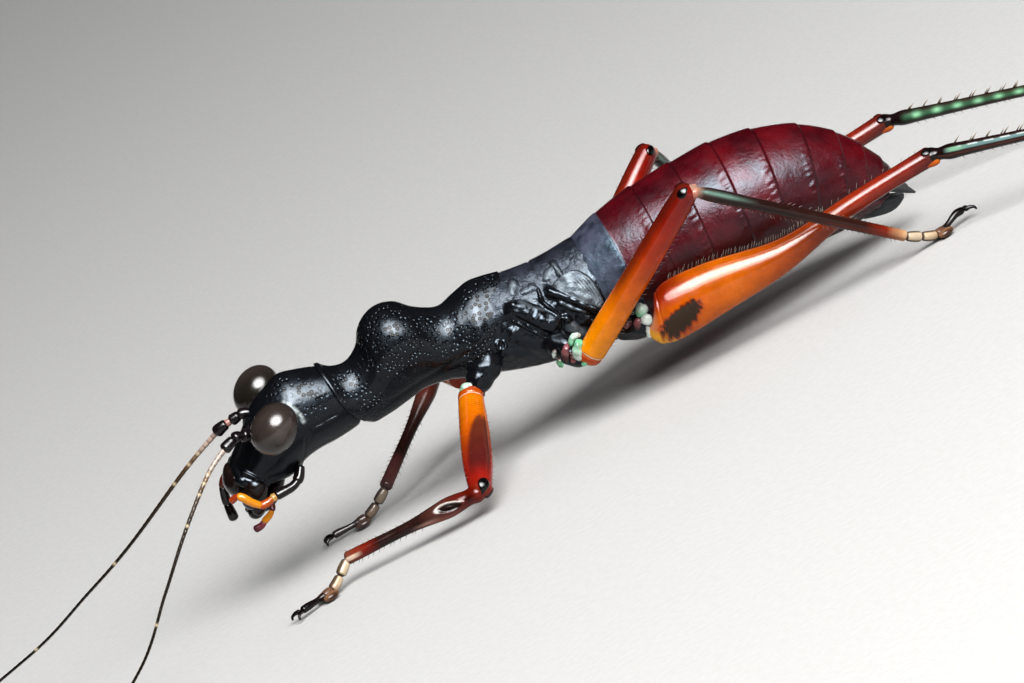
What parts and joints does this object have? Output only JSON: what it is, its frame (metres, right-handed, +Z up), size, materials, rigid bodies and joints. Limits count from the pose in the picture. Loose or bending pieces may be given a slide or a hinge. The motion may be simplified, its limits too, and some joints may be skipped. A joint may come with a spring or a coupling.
{
  "type": "katydid nymph model",
  "caption": "Life-size model of a slender, beetle-like bush-cricket nymph standing on six legs, with long feelers, a humped neck shield and a swollen abdomen.",
  "frame": {"origin": "middle of the whole insect's footprint, feelers included, on the floor under its feet", "axes": "+Z up; +X toward the tail, the head and feelers point along -X; the insect's left side faces -Y"},
  "size_m": [0.0616, 0.0312, 0.0062],
  "materials": {
    "black_cuticle": "polished, mirror-like, with small punctures",
    "blue_black_cuticle": "satin",
    "wine_red_cuticle": "glossy, finely wrinkled at the ring edges",
    "eye": "glossy, smooth",
    "palp": "glossy",
    "femur_orange": "glossy, shading to dark red at the knee",
    "tibia_brown": "glossy",
    "foot": "satin",
    "feeler": "satin, with pale rings"
  },
  "bodies": {
    "root": {"head": "black_cuticle", "prothorax": "black_cuticle", "labrum": "black_cuticle", "labium": "black_cuticle", "left_mandible": "black_cuticle", "right_mandible": "black_cuticle", "ovipositor": "black_cuticle", "left_cercus": "black_cuticle", "right_cercus": "black_cuticle", "mesothorax": "blue_black_cuticle", "metathorax": "blue_black_cuticle", "first_tergite": "blue_black_cuticle", "abdomen": "wine_red_cuticle", "left_eye": "eye", "right_eye": "eye", "left_antenna": "feeler", "right_antenna": "feeler", "left_maxillary_palp": "palp", "left_labial_palp": "palp", "right_maxillary_palp": "palp", "right_labial_palp": "palp", "front_left_coxa": "black_cuticle", "front_left_femur": "femur_orange", "front_left_tibia": "tibia_brown", "front_left_tarsus": "foot", "front_right_coxa": "black_cuticle", "front_right_femur": "femur_orange", "front_right_tibia": "tibia_brown", "front_right_tarsus": "foot", "mid_left_coxa": "black_cuticle", "mid_left_femur": "femur_orange", "mid_left_tibia": "tibia_brown", "mid_left_tarsus": "foot", "mid_right_coxa": "black_cuticle", "mid_right_femur": "femur_orange", "mid_right_tibia": "tibia_brown", "mid_right_tarsus": "foot", "hind_left_coxa": "black_cuticle", "hind_left_femur": "femur_orange", "hind_left_tibia": "tibia_brown", "hind_left_tarsus": "foot", "hind_right_coxa": "black_cuticle", "hind_right_femur": "femur_orange", "hind_right_tibia": "tibia_brown", "hind_right_tarsus": "foot"}
  },
  "joints": []
}
